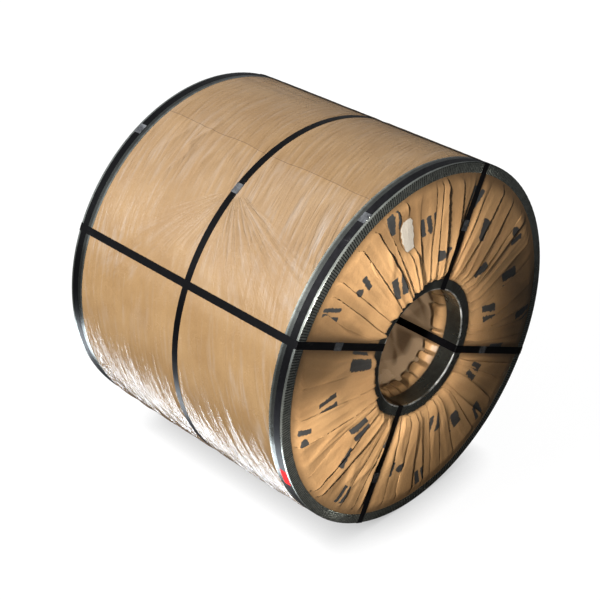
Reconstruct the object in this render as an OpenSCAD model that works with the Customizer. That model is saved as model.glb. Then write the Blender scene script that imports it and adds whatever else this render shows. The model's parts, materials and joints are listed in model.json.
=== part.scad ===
// Packed steel coil, lying with its eye level: a wound coil in kraft paper and stretch film,
// with metal edge rings, steel straps round the barrel and steel straps through the eye.
// Millimetres. The coil's axis is X, its front end faces +X, and it lies on Z = 0.

/* [Coil] */
// Outer diameter of the wound steel
coil_d = 1550; // [1200:10:1900]
// Diameter of the bare eye in the wound steel
bore_d = 508; // [480:2:620]
// Width of the steel strip
strip_w = 1250; // [700:10:1800]
// Distance between the turn lines that show on each end
turn_pitch = 40; // [20:1:80]
// Depth of a turn line
turn_depth = 0.6; // [0.2:0.1:2]

/* [Wrapping] */
// Thickness of the kraft paper round the barrel
paper_t = 0.8; // [0.3:0.1:2]
// Thickness of the stretch film over the paper
film_t = 0.3; // [0.2:0.1:1]
// Thickness of the kraft cover on each end
cover_t = 1.2; // [0.5:0.1:3]
// Thickness of the cover's fringe where it is tucked into the eye
fringe_t = 0.6; // [0.3:0.1:1.5]
// Length of the fringe inside the eye
fringe_l = 140; // [100:5:250]
// Thickness of the paper liner in the eye
liner_t = 0.8; // [0.3:0.1:2]

/* [Edge rings] */
// Sheet thickness of the edge rings
ring_t = 0.7; // [0.5:0.1:1.2]
// Bend radius on the outside of a ring's corner
ring_bend = 3; // [2:0.5:4]
// Leg of an outer ring along the barrel
outer_axial = 70; // [50:1:120]
// Leg of an outer ring down the end
outer_radial = 42; // [25:1:80]
// Number of flutes pressed into an outer ring's end leg
flutes = 440; // [200:20:480]
// Height of a flute's rib
flute_h = 0.7; // [0.3:0.1:2]
// Leg of an inner ring along the eye
inner_axial = 80; // [50:1:120]
// Leg of an inner ring on the end
inner_radial = 45; // [25:1:80]
// Angle that the inner ring's lapped joints cover
lap_deg = 5; // [2:0.5:10]

/* [Straps] */
// Width of every strap
strap_w = 32; // [19:1:40]
// Thickness of every strap
strap_t = 0.6; // [0.5:0.1:1]
// Distance of a ring strap's middle line in from the end of its ring
ring_strap_in = 27; // [22:1:34]
// Distance of the middle strap from mid-width, towards the front
middle_strap_off = 29; // [-150:1:150]
// Angle of the first eye strap, from level on the far side
eye_strap_deg = 64; // [0:1:89]
// Bend radius inside an eye strap's corners
strap_bend = 3; // [2:0.5:5]

/* [Seals and tag] */
// Length of a strap seal
seal_l = 46; // [30:1:80]
// Sheet thickness of a strap seal
seal_t = 0.8; // [0.5:0.1:1.5]
// Depth of the crimps in a seal's sides
crimp = 3; // [1:0.5:6]
// Angle of the ring straps' and middle strap's seals
band_seal_deg = 119; // [95:1:140]
// Distance of the label's middle in from the rim
label_in = 205; // [150:5:280]
// Length of the label along the coil's radius
label_l = 140; // [80:5:200]
// Width of the label
label_w = 64; // [40:2:90]
// Thickness of the label and of the tag
label_t = 0.3; // [0.2:0.1:0.6]
// Length of the red tag round the ring strap
tag_l = 86; // [40:2:120]
// Angle of the red tag's middle
tag_deg = 199; // [185:1:230]

/* [Hidden] */
$fn = 180;
// Clearance between a layer and the one that it lies on
gap = 0.1;
// Clearance between an eye strap's edges and the inner ring that they bear on
edge_gap = 0.05;
// Distances of the four eye straps' seals in from the rim
seal_in = [256, 238, 206, 324];
// Middles of the inner rings' lapped joints
lap_angles = [1, 37, 210, 310];
lap_t = 0.5;
// Shares of a flute's pitch that its hollow takes, and each sloped side of the hollow
flute_hollow = 0.5;
flute_side = 0.06;
// Half the width of a turn line, and the distance between two crimps
turn_half = 2;
crimp_pitch = 15;
// Flange of an eye strap's seal that is folded under the strap
seal_flange = 9;
// The label lies between the first two eye straps
label_deg = eye_strap_deg + 38;
// Steps of the front, middle and rear straps' seals from their common angle
band_seal_steps = [-4, 4, 0];

bore_r = bore_d / 2;
coil_r = coil_d / 2;
end_z = strip_w / 2;

// Layers from the coil outwards along its radius
paper_r = coil_r + gap + paper_t;
film_r = paper_r + gap + film_t;
ring_in_r = film_r + gap;
ring_out_r = ring_in_r + ring_t;
band_in_r = ring_out_r + gap;
band_out_r = band_in_r + strap_t;
eye_strap_out_r = band_out_r + gap;

// Layers from the coil inwards into the eye
liner_r = bore_r - gap - liner_t;
fringe_out_r = liner_r - gap;
fringe_r = fringe_out_r - fringe_t;
eye_wall_r = fringe_r - gap;
eye_r = eye_wall_r - ring_t;
eye_strap_in_r = sqrt(pow(eye_r - edge_gap, 2) - pow(strap_w / 2, 2));

// Layers from the coil outwards along its axis
cover_z = end_z + gap;
cover_top_z = cover_z + cover_t;
// The wrapping and the liner stop where the rings' corners start to turn
wrap_end_z = end_z - ring_bend;
cover_r = ring_out_r - ring_bend;
ring_z = cover_top_z + gap;
ring_top_z = ring_z + ring_t;
flute_top_z = ring_top_z + flute_h;
strap_z = flute_top_z + gap;
strap_top_z = strap_z + strap_t;
seal_top_z = strap_top_z + gap + seal_t;

// Only the front end has seals, so half their rise centres the whole on X
centre_x = -(seal_top_z - strap_top_z) / 2;

// Stands the turning axis Z of a piece along X, with the piece's X along Y and its Y up
module lay_down() {
    translate([centre_x, 0, band_out_r]) rotate([90, 0, 90]) children();
}

// A plain tube between two radii and two heights
module tube(inner_r, outer_r, low_z, high_z) {
    translate([0, 0, low_z]) rotate_extrude() translate([inner_r, 0]) square([outer_r - inner_r, high_z - low_z]);
}

// Points of one end of the coil from the eye to the rim, with a V at each turn line
function turn_lines(z, inward) = [
    for (r = [bore_r + turn_pitch : turn_pitch : coil_r - turn_pitch / 2])
        for (step = [[-turn_half, 0], [0, inward * turn_depth], [turn_half, 0]])
            [r + step[0], z + step[1]]
];

function reversed(list) = [for (i = [len(list) - 1 : -1 : 0]) list[i]];

module steel_coil() {
    outline = concat(
        [[bore_r, -end_z]], turn_lines(-end_z, 1), [[coil_r, -end_z]],
        [[coil_r, end_z]], reversed(turn_lines(end_z, -1)), [[bore_r, end_z]]
    );
    color("lightslategray") lay_down() rotate_extrude() polygon(outline);
}

module barrel_paper() {
    color("burlywood") lay_down() tube(coil_r + gap, paper_r, -wrap_end_z, wrap_end_z);
}

module stretch_film() {
    color("wheat", 0.5) lay_down() tube(paper_r + gap, film_r, -wrap_end_z, wrap_end_z);
}

module bore_liner() {
    color("sienna") lay_down() tube(liner_r, bore_r - gap, -wrap_end_z, wrap_end_z);
}

// A quarter round of sheet that joins two legs, about its bend's centre, with side 1 or -1 across the radius
module bend(side, outer_r, sheet) {
    intersection() {
        difference() {
            circle(outer_r);
            circle(outer_r - sheet);
        }
        translate([side > 0 ? 0 : -outer_r, 0]) square(outer_r);
    }
}

// A kraft disc whose inner edge turns round the coil's corner and is tucked into the eye as a fringe
module end_cover() {
    turn_r = eye_r + ring_bend;
    turn_z = ring_top_z - ring_bend;
    rotate_extrude() {
        translate([fringe_r, end_z - fringe_l]) square([fringe_t, turn_z - end_z + fringe_l]);
        translate([turn_r, turn_z]) bend(-1, turn_r - fringe_r, fringe_t);
        translate([turn_r, cover_z]) square([cover_r - turn_r, cover_t]);
    }
}

module front_end_cover() {
    color("peru") lay_down() end_cover();
}

module rear_end_cover() {
    color("peru") lay_down() mirror([0, 0, 1]) end_cover();
}

// Section of an outer ring, radius along X: barrel leg, bend and an end leg as thick as its flutes
module outer_ring_section() {
    translate([ring_in_r, ring_top_z - outer_axial]) square([ring_t, outer_axial - ring_bend]);
    translate([ring_out_r - ring_bend, ring_top_z - ring_bend]) bend(1, ring_bend, ring_t);
    translate([ring_out_r - outer_radial, ring_z]) square([outer_radial - ring_bend, ring_t + flute_h]);
}

// Star whose arms are the hollows between the ribs of the fluted leg
module flute_star() {
    pitch = 360 / flutes;
    root_r = ring_out_r - ring_bend - 2 * ring_t;
    open_r = ring_out_r - outer_radial - 2 * ring_t;
    polygon([
        for (i = [0 : flutes - 1])
            for (corner = [
                [0, open_r], [flute_side, root_r], [flute_hollow - flute_side, root_r], [flute_hollow, open_r]
            ])
                corner[1] * [cos((i + corner[0]) * pitch), sin((i + corner[0]) * pitch)]
    ]);
}

module outer_ring() {
    difference() {
        rotate_extrude() outer_ring_section();
        translate([0, 0, ring_top_z]) linear_extrude(2 * flute_h) flute_star();
    }
}

module front_outer_ring() {
    color("dimgray") lay_down() outer_ring();
}

module rear_outer_ring() {
    color("dimgray") lay_down() mirror([0, 0, 1]) outer_ring();
}

// Section of an inner ring: eye leg, bend and end leg
module inner_ring_section() {
    translate([eye_r, ring_top_z - inner_axial]) square([ring_t, inner_axial - ring_bend]);
    translate([eye_r + ring_bend, ring_top_z - ring_bend]) bend(-1, ring_bend, ring_t);
    translate([eye_r + ring_bend, ring_z]) square([inner_radial - ring_bend, ring_t]);
}

module inner_ring() {
    rotate_extrude() inner_ring_section();
    lap_l = inner_radial - ring_bend - 2 * ring_t;
    for (angle = lap_angles)
        rotate([0, 0, angle - lap_deg / 2]) rotate_extrude(angle = lap_deg)
            translate([eye_r + ring_bend + ring_t, ring_z + ring_t / 2]) square([lap_l, ring_t / 2 + lap_t]);
}

module front_inner_ring() {
    color("darkslategray") lay_down() inner_ring();
}

module rear_inner_ring() {
    color("darkslategray") lay_down() mirror([0, 0, 1]) inner_ring();
}

// A strap round the barrel, on the layer of the given radius
module band(inner_r, middle_z) {
    tube(inner_r, inner_r + strap_t, middle_z - strap_w / 2, middle_z + strap_w / 2);
}

module front_strap() {
    color("black") lay_down() band(band_in_r, ring_top_z - ring_strap_in);
}

module middle_strap() {
    color("black") lay_down() band(ring_in_r, middle_strap_off);
}

module rear_strap() {
    color("black") lay_down() band(band_in_r, ring_strap_in - ring_top_z);
}

// Sheet bent over the top and down both sides of a strap, with crimps nipped into its sides.
// The strap runs along X and its outer face is at Z = 0.
module seal(flange) {
    half = strap_w / 2 + gap;
    low = -strap_t - gap / 2 - (flange > 0 ? seal_t : 0);
    difference() {
        translate([-seal_l / 2, 0, 0]) rotate([90, 0, 90]) linear_extrude(seal_l) {
            translate([-half - seal_t, gap]) square([2 * (half + seal_t), seal_t]);
            for (side = [-half - seal_t, half]) translate([side, low]) square([seal_t, gap - low + seal_t]);
            if (flange > 0)
                for (side = [-half - seal_t, half + seal_t - flange])
                    translate([side, low]) square([flange, seal_t]);
        }
        for (x = [-crimp_pitch / 2, crimp_pitch / 2])
            for (side = [-1, 1])
                translate([x, side * (half + seal_t), low - seal_t])
                    linear_extrude(3 * seal_t + strap_t + 2 * gap) rotate(45) square(crimp, center = true);
    }
}

// A seal on a strap round the barrel, at a step from the seals' common angle
module band_seal(step, outer_r, middle_z) {
    rotate([0, 0, band_seal_deg + step]) translate([outer_r, 0, middle_z]) rotate([90, 0, 90]) seal(0);
}

module front_strap_seal() {
    color("silver") lay_down() band_seal(band_seal_steps[0], band_out_r, ring_top_z - ring_strap_in);
}

module middle_strap_seal() {
    color("silver") lay_down() band_seal(band_seal_steps[1], ring_in_r + strap_t, middle_strap_off);
}

module rear_strap_seal() {
    color("silver") lay_down() band_seal(band_seal_steps[2], band_out_r, ring_strap_in - ring_top_z);
}

function eye_strap_angle(number) = eye_strap_deg + 90 * (number - 1);

// A rectangle with round corners, from straight pieces and full circles
module round_rectangle(low, high, r) {
    translate([low[0] + r, low[1]]) square([high[0] - low[0] - 2 * r, high[1] - low[1]]);
    translate([low[0], low[1] + r]) square([high[0] - low[0], high[1] - low[1] - 2 * r]);
    for (x = [low[0] + r, high[0] - r])
        for (y = [low[1] + r, high[1] - r])
            translate([x, y]) circle(r);
}

// A closed loop of strap along the barrel, down both ends and back through the eye
module eye_strap(number) {
    low = [eye_strap_in_r, -strap_z];
    high = [eye_strap_out_r, strap_z];
    sheet = [strap_t, strap_t];
    color("black") lay_down() rotate([0, 0, eye_strap_angle(number)]) rotate([90, 0, 0])
        linear_extrude(strap_w, center = true) difference() {
            round_rectangle(low - sheet, high + sheet, strap_bend + strap_t);
            round_rectangle(low, high, strap_bend);
        }
}

module eye_strap_seal(number) {
    color("silver") lay_down() rotate([0, 0, eye_strap_angle(number)])
        translate([band_out_r - seal_in[number - 1], 0, strap_top_z]) seal(seal_flange);
}

// A strip of tape laid over the front strap
module red_tag() {
    tag_angle = tag_l / band_out_r * 180 / PI;
    color("red") lay_down() rotate([0, 0, tag_deg - tag_angle / 2]) rotate_extrude(angle = tag_angle)
        translate([band_out_r + gap, ring_top_z - ring_strap_in - strap_w / 2]) square([label_t, strap_w]);
}

// A blank paper label on the front cover, with one corner torn off
module blank_label() {
    tear = label_w / 3;
    half_l = label_l / 2;
    half_w = label_w / 2;
    color("white") lay_down() rotate([0, 0, label_deg]) translate([band_out_r - label_in, 0, cover_top_z + gap])
        linear_extrude(label_t) polygon([
            [half_l - tear, half_w], [-half_l + tear, half_w], [-half_l, half_w - tear],
            [-half_l, -half_w + tear], [-half_l + tear, -half_w], [half_l, -half_w], [half_l, half_w - tear]
        ]);
}

steel_coil();
barrel_paper();
stretch_film();
bore_liner();
front_end_cover();
rear_end_cover();
front_outer_ring();
rear_outer_ring();
front_inner_ring();
rear_inner_ring();
front_strap();
middle_strap();
rear_strap();
front_strap_seal();
middle_strap_seal();
rear_strap_seal();
eye_strap(1);  // eye_strap_1
eye_strap(2);  // eye_strap_2
eye_strap(3);  // eye_strap_3
eye_strap(4);  // eye_strap_4
eye_strap_seal(1);  // eye_strap_seal_1
eye_strap_seal(2);  // eye_strap_seal_2
eye_strap_seal(3);  // eye_strap_seal_3
eye_strap_seal(4);  // eye_strap_seal_4
red_tag();
blank_label();
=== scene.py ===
# %% [markdown]
# A packed steel coil
# The coil lies on its side, wrapped in kraft paper and clear film, with metal edge rings and black straps.
# The hard pieces come from the CAD frame and only need finishes. The soft sheets are made here with numpy.
# The frame is loaded first, because every piece takes its place from it.

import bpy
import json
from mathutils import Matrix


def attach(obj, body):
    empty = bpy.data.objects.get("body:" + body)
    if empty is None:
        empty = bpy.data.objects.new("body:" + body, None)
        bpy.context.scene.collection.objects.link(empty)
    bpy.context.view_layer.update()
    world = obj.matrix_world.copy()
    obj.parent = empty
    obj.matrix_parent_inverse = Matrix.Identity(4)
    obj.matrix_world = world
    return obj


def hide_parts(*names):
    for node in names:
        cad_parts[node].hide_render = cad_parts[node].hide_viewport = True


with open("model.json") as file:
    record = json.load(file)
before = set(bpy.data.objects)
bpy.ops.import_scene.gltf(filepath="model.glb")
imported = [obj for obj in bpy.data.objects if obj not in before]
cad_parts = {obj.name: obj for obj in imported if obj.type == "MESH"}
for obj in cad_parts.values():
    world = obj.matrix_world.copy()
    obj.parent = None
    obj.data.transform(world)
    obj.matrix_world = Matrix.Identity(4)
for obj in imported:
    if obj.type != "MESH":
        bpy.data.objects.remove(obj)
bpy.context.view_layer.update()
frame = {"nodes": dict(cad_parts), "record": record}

# %% Libraries and the coil's own axis
import json
import math

import bpy
import numpy as np
from mathutils import Vector

scene = bpy.context.scene
cad = frame["nodes"]
MID_X, _, AXIS_Z = frame["record"]["mounts"][0]["pos_m"]
print("The eye's axis is", AXIS_Z, "m above the floor")

# %% [markdown]
# The camera
# The photo looks down at the front end from its left. A real camera's lens and place can be worked out from
# an outline whose true shape is known, and here that gave a lens of 84 mm on a 36 mm sensor. Placing the
# camera by these numbers is surer than moving it by eye.

# %% Camera at the photo's viewing angle
CAMERA_AZIMUTH, CAMERA_ELEVATION = math.radians(44.94), math.radians(31.66)
CAMERA_AWAY = (3.568, -3.631, 3.092)
LENS_MM, SENSOR_MM = 84.04, 36.0
camera_back = Vector((
    math.sin(CAMERA_AZIMUTH) * math.cos(CAMERA_ELEVATION),
    -math.cos(CAMERA_AZIMUTH) * math.cos(CAMERA_ELEVATION),
    math.sin(CAMERA_ELEVATION),
))
camera_data = bpy.data.cameras.new("photo_camera")
camera_data.sensor_width = SENSOR_MM
camera_data.lens = LENS_MM
camera = bpy.data.objects.new("photo_camera", camera_data)
camera.location = Vector((MID_X + CAMERA_AWAY[0], CAMERA_AWAY[1], AXIS_Z + CAMERA_AWAY[2]))
camera.rotation_mode = "QUATERNION"
camera.rotation_quaternion = (-camera_back).to_track_quat("-Z", "Y")
scene.collection.objects.link(camera)
scene.camera = camera
print("Camera at", [round(value, 3) for value in camera.location])

# %% [markdown]
# Nodes as functions
# Finishes, lamps, floor and sky are all networks of nodes. They can be wired by hand in the Shader Editor,
# but the same few wirings come back many times, so each is a short function here. Most of them return a
# socket, so that one call can go inside another, as in a sum.

# %% Helpers for nodes
def feed(tree, socket, value):
    """Links an input to another node's output, or sets it to a plain value."""
    if isinstance(value, bpy.types.NodeSocket):
        tree.links.new(value, socket)
    else:
        socket.default_value = value


def add_node(tree, kind, inputs=None, **settings):
    """A node with its settings, and with its inputs fed by name or number."""
    made = tree.nodes.new(kind)
    for name, value in settings.items():
        setattr(made, name, value)
    for name, value in (inputs or {}).items():
        feed(tree, made.inputs[name], value)
    return made


def maths(tree, operation, *values):
    """One or two values put through an operation of a Math node."""
    return add_node(tree, "ShaderNodeMath", dict(enumerate(values)), operation=operation).outputs["Value"]


def band(tree, value, low, high, to_low=0.0, to_high=1.0):
    """A value mapped from one range to another and held inside it."""
    ranges = {"Value": value, "From Min": low, "From Max": high, "To Min": to_low, "To Max": to_high}
    return add_node(tree, "ShaderNodeMapRange", ranges).outputs["Result"]


def blend(tree, share, a, b, kind="MIX"):
    """Colour a changed to colour b by a share. Inputs 6 and 7 and output 2 are the node's colour sockets."""
    made = add_node(tree, "ShaderNodeMix", {"Factor": share, 6: a, 7: b}, data_type="RGBA", blend_type=kind)
    return made.outputs[2]


def new_finish(name, **fixed):
    """A material with its Principled shader, whose fixed values are set on the shader's own sockets."""
    finish = bpy.data.materials.new(name)
    finish.use_nodes = True
    shader = finish.node_tree.nodes["Principled BSDF"]
    for socket, value in fixed.items():
        shader.inputs[socket.replace("_", " ")].default_value = value
    place = add_node(finish.node_tree, "ShaderNodeTexCoord").outputs["Object"]
    return finish, finish.node_tree, shader, place


# %% [markdown]
# A pale floor
# The coil is shown on plain white. A floor that is truly white throws light up at the coil's underside, so
# this one is dark to the lamps and glows for the camera alone. Close to the coil the glow fades, like the
# shade under any heavy thing: an ambient occlusion node tells how open the place is. The Standard view
# transform keeps whites white, which suits an object on a plain ground.

# %% Floor
scene.view_settings.view_transform = "Standard"
FLOOR_HALF = 30.0
FLOOR_GREY, WHITE = (0.12, 0.12, 0.12, 1), (1, 1, 1, 1)
FLOOR_GLOW = 0.96
CONTACT_SHADE = 0.38
CONTACT_REACH = 0.15


def four_corners(low_u, high_u, low_v, high_v):
    """The corners of a rectangle, in order round it."""
    return [(low_u, low_v), (high_u, low_v), (high_u, high_v), (low_u, high_v)]


def add_card(name, corners):
    """A flat card between four corners."""
    mesh = bpy.data.meshes.new(name)
    mesh.from_pydata(corners, [], [(0, 1, 2, 3)])
    card = bpy.data.objects.new(name, mesh)
    scene.collection.objects.link(card)
    return card


floor_corners = four_corners(-FLOOR_HALF, FLOOR_HALF, -FLOOR_HALF, FLOOR_HALF)
floor = add_card("floor", [(x, y, 0) for x, y in floor_corners])
floor_white, tree, shader, _ = new_finish(
    "floor_white", Base_Color=FLOOR_GREY, Roughness=0.9, Specular_IOR_Level=0.1, Emission_Color=WHITE)
seen = add_node(tree, "ShaderNodeLightPath").outputs["Is Camera Ray"]
openness = add_node(tree, "ShaderNodeAmbientOcclusion", {"Distance": CONTACT_REACH}).outputs["AO"]
glow = maths(tree, "MULTIPLY", seen, FLOOR_GLOW)
glow = maths(tree, "MULTIPLY", glow, band(tree, openness, 0.0, 1.0, CONTACT_SHADE, 1.0))
tree.links.new(glow, shader.inputs["Emission Strength"])
floor.data.materials.append(floor_white)
print("The floor is", 2 * FLOOR_HALF, "m wide")

# %% [markdown]
# Lamps
# The real coil stood by a wide bright opening on its left. A broad sun lights the barrel, and a broader one
# only shows as sheen, because a lamp can be kept out of diffuse light or out of reflections. A weak sun from
# behind keeps the back from going black. Two soft spots graze the end from its upper left, so the pleats
# stand out and the right fades. A card that does nothing but cast a shadow dims the end's right, as a studio
# flag does, and a third spot fills the eye. Two panels on the floor are there for glints alone: a narrow one
# for the film and a wide one for the metal.

# %% Kinds of lamp
WARM, BLUISH = (1.0, 0.96, 0.90), (0.84, 0.92, 1.0)


def put_lamp(data, facing, place=(0, 0, 0)):
    """A lamp object at a place, turned to shine along a direction."""
    lamp = bpy.data.objects.new(data.name, data)
    lamp.location = place
    lamp.rotation_mode = "QUATERNION"
    lamp.rotation_quaternion = Vector(facing).to_track_quat("-Z", "Y")
    scene.collection.objects.link(lamp)
    return lamp


def add_sun(name, facing, strength, spread):
    """A sun that shines along a direction, with a wide disc for soft shadows."""
    data = bpy.data.lights.new(name, "SUN")
    data.energy = strength
    data.angle = math.radians(spread)
    return put_lamp(data, facing)


def add_spot(name, place, target, watts, cone, size=0.15):
    """A warm round lamp at a place, turned to face a target point. Its light fades to nothing at its cone's
    edge, and with the fourth power of the distance, so what lies beyond the target is dimmer than a plain
    lamp leaves it."""
    data = bpy.data.lights.new(name, "SPOT")
    data.energy = watts
    data.spot_size = math.radians(cone)
    data.spot_blend = 1.0
    data.shadow_soft_size = size
    data.color = WARM
    data.use_nodes = True
    tree = data.node_tree
    facing = Vector(target) - Vector(place)
    falloff = add_node(tree, "ShaderNodeLightFalloff", {"Strength": 1.0}).outputs["Constant"]
    share = maths(tree, "DIVIDE", facing.length_squared, falloff)
    tree.links.new(share, tree.nodes["Emission"].inputs["Strength"])
    lamp = put_lamp(data, facing, place)
    lamp.visible_camera = False
    return lamp


def add_floor_panel(name, place, long, wide, watts, turn=0.0):
    """A bluish panel lying just over the floor and facing up, which only shows as glints in shiny things."""
    data = bpy.data.lights.new(name, "AREA")
    data.shape = "RECTANGLE"
    data.size, data.size_y = long, wide
    data.energy = watts
    data.color = BLUISH
    lamp = bpy.data.objects.new(name, data)
    lamp.location = place
    lamp.rotation_euler = (math.pi, 0, turn)
    lamp.visible_camera = False
    lamp.visible_diffuse = False
    scene.collection.objects.link(lamp)
    return lamp


# %% Lamps and flag in place
FLAG_X, FLAG_Y, FLAG_Z = (0.925, 1.06), -0.74, (1.10, 1.60)
soft_sun = add_sun("soft_sun", (0.32, 0.80, -0.48), 3.3, 25)
soft_sun.visible_glossy = False
sheen_sun = add_sun("sheen_sun", (0.28, 0.80, -0.53), 1.3, 45)
sheen_sun.visible_diffuse = False
back_fill = add_sun("back_fill", (0.30, -0.80, -0.52), 0.7, 40)
back_fill.visible_glossy = False
film_panel = add_floor_panel("film_panel", (-0.45, -0.70, 0.004), 2.3, 0.05, 7, math.radians(5))
metal_panel = add_floor_panel("metal_panel", (-0.35, -0.97, 0.003), 2.4, 0.36, 18)
end_spots = [
    add_spot("upper_spot", (1.4, -2.4, 2.4), (0.62, -0.12, 1.28), 1280, 23),
    add_spot("lower_spot", (1.4, -2.6, 1.7), (0.62, -0.38, 0.34), 1050, 24),
]
flag = add_card("flag", [(x, FLAG_Y, z) for x, z in four_corners(*FLAG_X, *FLAG_Z)])
flag.visible_camera = False
flag.visible_diffuse = False
flag.visible_glossy = False
eye_spot = add_spot("eye_spot", (2.6, -0.7, 1.4), (0.62, 0.06, 0.74), 950, 11.5, size=0.35)
eye_spot.visible_glossy = False
print("Lamps:", [light.name for light in bpy.data.lights])

# %% [markdown]
# Sky
# Metal looks like metal only when it has something bright and something dark to mirror. A picture of a
# studio could surround the scene, but a sky that is bright on the left and dim on the right does the same in
# a few nodes.

# %% A sky that is bright on one side
SKY_COLOUR = (0.93, 0.96, 1.0, 1)
BRIGHT_SIDE = Vector((-0.90, -0.5, 0.3)).normalized()
SKY_DIM, SKY_BRIGHT = 0.02, 0.66
sky = bpy.data.worlds.new("studio_sky")
sky.use_nodes = True
tree = sky.node_tree
lit = tree.nodes["Background"]
lit.inputs["Color"].default_value = SKY_COLOUR
heading = add_node(tree, "ShaderNodeTexCoord").outputs["Generated"]
facing = add_node(tree, "ShaderNodeVectorMath", {0: heading, 1: BRIGHT_SIDE}, operation="DOT_PRODUCT")
strength = band(tree, facing.outputs["Value"], -0.2, 0.9, SKY_DIM, SKY_BRIGHT)
tree.links.new(strength, lit.inputs["Strength"])
plain = add_node(tree, "ShaderNodeBackground", {"Color": WHITE})
seen = add_node(tree, "ShaderNodeLightPath").outputs["Is Camera Ray"]
both = add_node(tree, "ShaderNodeMixShader", {0: seen, 1: lit.outputs[0], 2: plain.outputs[0]})
tree.links.new(both.outputs["Shader"], tree.nodes["World Output"].inputs["Surface"])
scene.world = sky
print("The sky goes from", SKY_DIM, "to", SKY_BRIGHT, "and is white to the camera")

# %% [markdown]
# Sheets from grids
# Paper and film can be sculpted, simulated as cloth, or written as formulas. A formula is chosen here,
# because the creases have to run from the seals and rings in set directions. Each sheet is a grid of points:
# one number runs along it, another round it, and a third array says how far each point lifts from where it
# would lie flat.

# %% Places, curves and noise for grids
def round_axis(radius, angle, along):
    """The point at a radius from the coil's axis, at an angle from level on the far side turning up, and at
    a distance along the axis from the coil's middle: x is the distance, y and z are the radius times cosine
    and sine of the angle."""
    radius, angle, along = np.broadcast_arrays(radius, angle, along)
    return np.stack([MID_X + along, radius * np.cos(angle), AXIS_Z + radius * np.sin(angle)], axis=-1)


def ease(low, high, value):
    """0 below low, 1 above high and an S-curve between, worked out as 3t2 - 2t3. High may be the lower
    one."""
    t = np.clip((value - low) / (high - low), 0, 1)
    return t * t * (3 - 2 * t)


def soft_noise(u, v, seed):
    """Value noise from -1 to 1: every whole-number corner of the plane has a seeded random height, and a
    point mixes the four corners about it by smoothed distances."""
    u, v = np.broadcast_arrays(u, v)
    heights = np.random.default_rng(seed).uniform(-1, 1, (256, 256))
    low_u, low_v = np.floor(u).astype(int), np.floor(v).astype(int)
    mix_u, mix_v = ease(0, 1, u - low_u), ease(0, 1, v - low_v)
    corner = lambda du, dv: heights[(low_u + du) % 256, (low_v + dv) % 256]
    near = corner(0, 0) * (1 - mix_u) + corner(1, 0) * mix_u
    far = corner(0, 1) * (1 - mix_u) + corner(1, 1) * mix_u
    return near * (1 - mix_v) + far * mix_v


def crease(u, v, seed, sharpness=2.0):
    """Thin ridges where soft noise crosses zero: (1 - its size) to a power, from 0 to 1."""
    return (1 - np.abs(soft_noise(u, v, seed))) ** sharpness


# %% Meshes from grids of points
def grid_piece(name, points, around=False, flip=False):
    """A mesh from rows and columns of points. Four neighbours make a face, and with around the last column
    joins the first. Flip turns the faces over."""
    rows, columns = points.shape[:2]
    row = np.arange(rows - 1)[:, None] * columns
    column = np.arange(columns if around else columns - 1)[None, :]
    after = (column + 1) % columns
    corners = np.stack([row + column, row + after, row + columns + after, row + columns + column], axis=-1)
    corners = corners.reshape(-1, 4)[:, ::-1 if flip else 1].astype(np.int32)
    mesh = bpy.data.meshes.new(name)
    mesh.vertices.add(rows * columns)
    mesh.vertices.foreach_set("co", points.astype(np.float32).ravel())
    mesh.loops.add(corners.size)
    mesh.loops.foreach_set("vertex_index", corners.ravel())
    mesh.polygons.add(len(corners))
    mesh.polygons.foreach_set("loop_start", np.arange(0, corners.size, 4, dtype=np.int32))
    mesh.update(calc_edges=True)
    mesh.validate()
    mesh.shade_smooth()
    piece = bpy.data.objects.new(name, mesh)
    scene.collection.objects.link(piece)
    print(name, "has", 2 * len(corners), "triangles")
    return piece


def give_values(piece, **named):
    """Stores one number for each point of a grid piece under each name."""
    for name, values in named.items():
        layer = piece.data.attributes.new(name, "FLOAT", "POINT")
        layer.data.foreach_set("value", np.ascontiguousarray(values, dtype=np.float32).ravel())


def give_flat_map(piece, name, across, along):
    """Stores two numbers for each point of a grid piece as a UV layer."""
    flat = np.stack([across, along], axis=-1).reshape(-1, 2)
    index = np.empty(len(piece.data.loops), np.int32)
    piece.data.loops.foreach_get("vertex_index", index)
    layer = piece.data.uv_layers.new(name=name)
    layer.data.foreach_set("uv", flat[index].astype(np.float32).ravel())


# %% [markdown]
# Where things press on the sheets
# A sheet lies flat under a strap or a ring and can only lift away from it. The strap places repeat the
# CAD's.

# %% Straps and rings that hold the sheets down
FILM_R = 0.7763
MIDDLE_STRAP_X = 0.029
STRAP_HALF = 0.016
EYE_STRAP_ANGLES = np.radians([64.0, 154.0, 244.0, 334.0])
RING_START_X = 0.5571
WRAP_END_X = 0.622


def turn_gap(angle, middle):
    """The shortest signed turn from the middle angle, between minus and plus half a turn."""
    return (angle - middle + np.pi) % (2 * np.pi) - np.pi


def free_of_straps(angle, radius, near=0.004, far=0.05):
    """0 under the four straps that run along the coil and through its eye, rising to 1 a little beside
    them."""
    free = np.ones(np.broadcast(angle, radius).shape)
    for middle in EYE_STRAP_ANGLES:
        beside = radius * np.abs(turn_gap(angle, middle)) - STRAP_HALF
        free = np.minimum(free, ease(near, far, beside))
    return free


print("Straps along the coil at", np.degrees(EYE_STRAP_ANGLES).round(), "degrees")

# %% [markdown]
# The wrapped barrel
# Kraft paper goes round the coil and clear film is stretched over it, so what shows is paper with a glossy,
# wrinkled skin. Two see-through layers would be the literal way, but light reaches the lower one badly in a
# renderer. One surface with the film's wrinkles and the paper's colour looks the same, so that is what is
# made. The wrinkles run round the barrel, slanting forwards as they go down, and fan out from the middle
# seal.

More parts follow.
